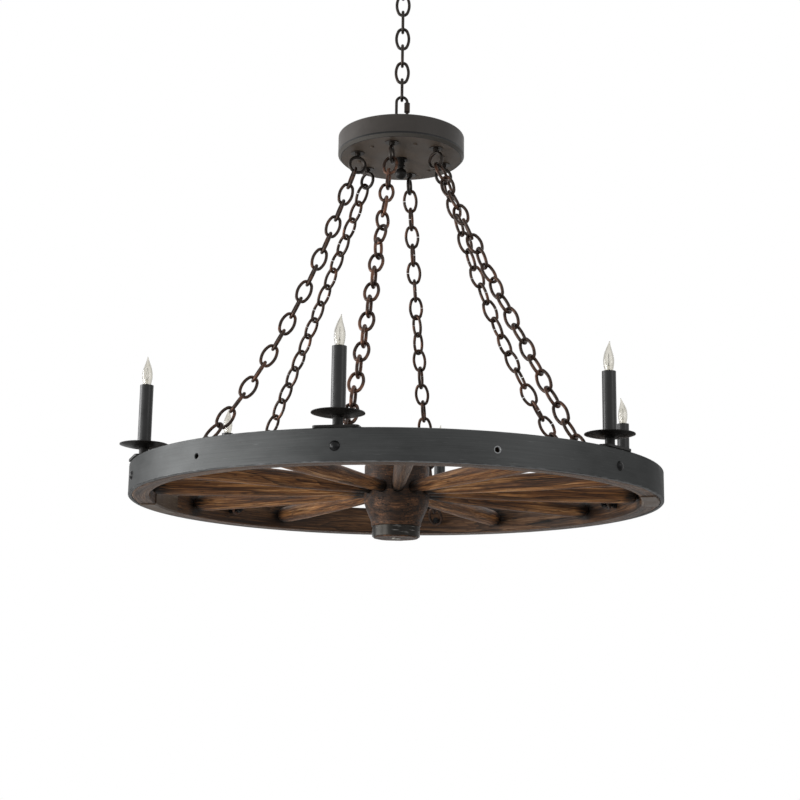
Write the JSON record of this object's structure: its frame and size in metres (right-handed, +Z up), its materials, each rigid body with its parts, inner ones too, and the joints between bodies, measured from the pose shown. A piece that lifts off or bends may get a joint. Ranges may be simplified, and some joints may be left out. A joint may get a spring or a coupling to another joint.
{
  "type": "wagon wheel chandelier",
  "caption": "Chandelier made from a spoked wooden wagon wheel with a steel tyre, hung on slanting stay chains from a round canopy, with electric candles round its rim.",
  "frame": {"origin": "Where the ceiling hook bears in the top link of the hanging chain, on the wheel's axis", "axes": "+Z up along the chain and the wheel's axis, -Y the front of the picture, +X to its right"},
  "size_m": [1.2198, 1.2568, 1.3995],
  "materials": {
    "dark_bronze": "satin",
    "rusty_bronze": "satin",
    "canopy_paint": "satin",
    "cover_paint": "satin",
    "black_paint": "satin",
    "zinc_steel": "brushed",
    "forged_steel": "brushed",
    "clip_steel": "worn",
    "worn_steel": "worn",
    "felloe_wood": "open grain, oiled",
    "spoke_wood": "open grain, oiled",
    "hub_wood": "open grain, oiled",
    "bolt_steel": "satin",
    "sleeve_black": "satin",
    "socket_phenolic": "matt",
    "clear_glass": "clear",
    "cap_brass": "bright"
  },
  "bodies": {
    "link_1": {"hanging_link_1": "dark_bronze"},
    "link_2": {"hanging_link_2": "dark_bronze"},
    "link_3": {"hanging_link_3": "dark_bronze"},
    "link_4": {"hanging_link_4": "dark_bronze"},
    "link_5": {"hanging_link_5": "dark_bronze"},
    "link_6": {"hanging_link_6": "dark_bronze"},
    "link_7": {"hanging_link_7": "dark_bronze"},
    "quick_link": {"quick_link": "dark_bronze"},
    "quick_link_nut": {"quick_link_nut": "dark_bronze"},
    "fixture": {"canopy_loop": "dark_bronze", "canopy_stem": "zinc_steel", "stem_nuts": "zinc_steel", "canopy_pan": "canopy_paint", "canopy_cover": "cover_paint", "backing_ring": "zinc_steel", "canopy_screws": "canopy_paint", "canopy_eyes": "rusty_bronze", "eye_nuts": "rusty_bronze", "finial": "black_paint", "stay_chain_1": "rusty_bronze", "stay_chain_2": "rusty_bronze", "stay_chain_3": "rusty_bronze", "stay_chain_4": "rusty_bronze", "stay_chain_5": "rusty_bronze", "stay_chain_6": "rusty_bronze", "tyre": "forged_steel", "felloe_front": "felloe_wood", "felloe_back": "felloe_wood", "felloe_clips": "clip_steel", "spokes": "spoke_wood", "hub": "hub_wood", "hub_bands": "forged_steel", "axle_bush": "worn_steel", "tyre_bolts": "bolt_steel", "bolt_nuts": "bolt_steel", "candle_plates": "black_paint", "plate_screws": "black_paint", "candle_nipples": "zinc_steel", "nipple_nuts": "zinc_steel", "candle_necks": "black_paint", "drip_pans": "black_paint", "candle_sockets": "socket_phenolic"},
    "candle_1": {"candle_sleeve_1": "sleeve_black"},
    "bulb_1": {"bulb_glass_1": "clear_glass", "bulb_cap_1": "cap_brass"},
    "candle_2": {"candle_sleeve_2": "sleeve_black"},
    "bulb_2": {"bulb_glass_2": "clear_glass", "bulb_cap_2": "cap_brass"},
    "candle_3": {"candle_sleeve_3": "sleeve_black"},
    "bulb_3": {"bulb_glass_3": "clear_glass", "bulb_cap_3": "cap_brass"},
    "candle_4": {"candle_sleeve_4": "sleeve_black"},
    "bulb_4": {"bulb_glass_4": "clear_glass", "bulb_cap_4": "cap_brass"},
    "candle_5": {"candle_sleeve_5": "sleeve_black"},
    "bulb_5": {"bulb_glass_5": "clear_glass", "bulb_cap_5": "cap_brass"},
    "candle_6": {"candle_sleeve_6": "sleeve_black"},
    "bulb_6": {"bulb_glass_6": "clear_glass", "bulb_cap_6": "cap_brass"}
  },
  "joints": [
    {"name": "link_1_2_swing_sideways", "type": "hinge", "parent": "link_1", "child": "link_2", "pos_m": [0, 0, -0.04875], "axis": [0, 1, 0], "range_deg": [-30, 30]},
    {"name": "link_2_3_swing_forward", "type": "hinge", "parent": "link_2", "child": "link_3", "pos_m": [0, 0, -0.09345], "axis": [1, 0, 0], "range_deg": [-30, 30]},
    {"name": "link_3_4_turn", "type": "hinge", "parent": "link_3", "child": "link_4", "pos_m": [0, 0, -0.13815], "axis": [0, 0, 1], "range_deg": [-20, 20]},
    {"name": "link_4_5_swing_sideways", "type": "hinge", "parent": "link_4", "child": "link_5", "pos_m": [0, 0, -0.17505], "axis": [0, 1, 0], "range_deg": [-30, 30]},
    {"name": "link_5_6_swing_forward", "type": "hinge", "parent": "link_5", "child": "link_6", "pos_m": [0, 0, -0.21975], "axis": [1, 0, 0], "range_deg": [-30, 30]},
    {"name": "link_6_7_turn", "type": "hinge", "parent": "link_6", "child": "link_7", "pos_m": [0, 0, -0.27225], "axis": [0, 0, 1], "range_deg": [-20, 20]},
    {"name": "link_7_quick_link_swing_sideways", "type": "hinge", "parent": "link_7", "child": "quick_link", "pos_m": [0, 0, -0.31695], "axis": [0, 1, 0], "range_deg": [-30, 30]},
    {"name": "quick_link_canopy_swing_forward", "type": "hinge", "parent": "quick_link", "child": "fixture", "pos_m": [0, 0, -0.3764], "axis": [1, 0, 0], "range_deg": [-30, 30]},
    {"name": "quick_link_nut_unscrews", "type": "slide", "parent": "quick_link", "child": "quick_link_nut", "axis": [0, 0, -1], "range_m": [0, 0.0115]},
    {"name": "candle_sleeve_1_lifts_off", "type": "slide", "parent": "fixture", "child": "candle_1", "axis": [0, 0, 1], "range_m": [0, 0.145]},
    {"name": "bulb_1_unscrews", "type": "slide", "parent": "fixture", "child": "bulb_1", "axis": [0, 0, 1], "range_m": [0, 0.03]},
    {"name": "candle_sleeve_2_lifts_off", "type": "slide", "parent": "fixture", "child": "candle_2", "axis": [0, 0, 1], "range_m": [0, 0.145]},
    {"name": "bulb_2_unscrews", "type": "slide", "parent": "fixture", "child": "bulb_2", "axis": [0, 0, 1], "range_m": [0, 0.03]},
    {"name": "candle_sleeve_3_lifts_off", "type": "slide", "parent": "fixture", "child": "candle_3", "axis": [0, 0, 1], "range_m": [0, 0.145]},
    {"name": "bulb_3_unscrews", "type": "slide", "parent": "fixture", "child": "bulb_3", "axis": [0, 0, 1], "range_m": [0, 0.03]},
    {"name": "candle_sleeve_4_lifts_off", "type": "slide", "parent": "fixture", "child": "candle_4", "axis": [0, 0, 1], "range_m": [0, 0.145]},
    {"name": "bulb_4_unscrews", "type": "slide", "parent": "fixture", "child": "bulb_4", "axis": [0, 0, 1], "range_m": [0, 0.03]},
    {"name": "candle_sleeve_5_lifts_off", "type": "slide", "parent": "fixture", "child": "candle_5", "axis": [0, 0, 1], "range_m": [0, 0.145]},
    {"name": "bulb_5_unscrews", "type": "slide", "parent": "fixture", "child": "bulb_5", "axis": [0, 0, 1], "range_m": [0, 0.03]},
    {"name": "candle_sleeve_6_lifts_off", "type": "slide", "parent": "fixture", "child": "candle_6", "axis": [0, 0, 1], "range_m": [0, 0.145]},
    {"name": "bulb_6_unscrews", "type": "slide", "parent": "fixture", "child": "bulb_6", "axis": [0, 0, 1], "range_m": [0, 0.03]}
  ]
}
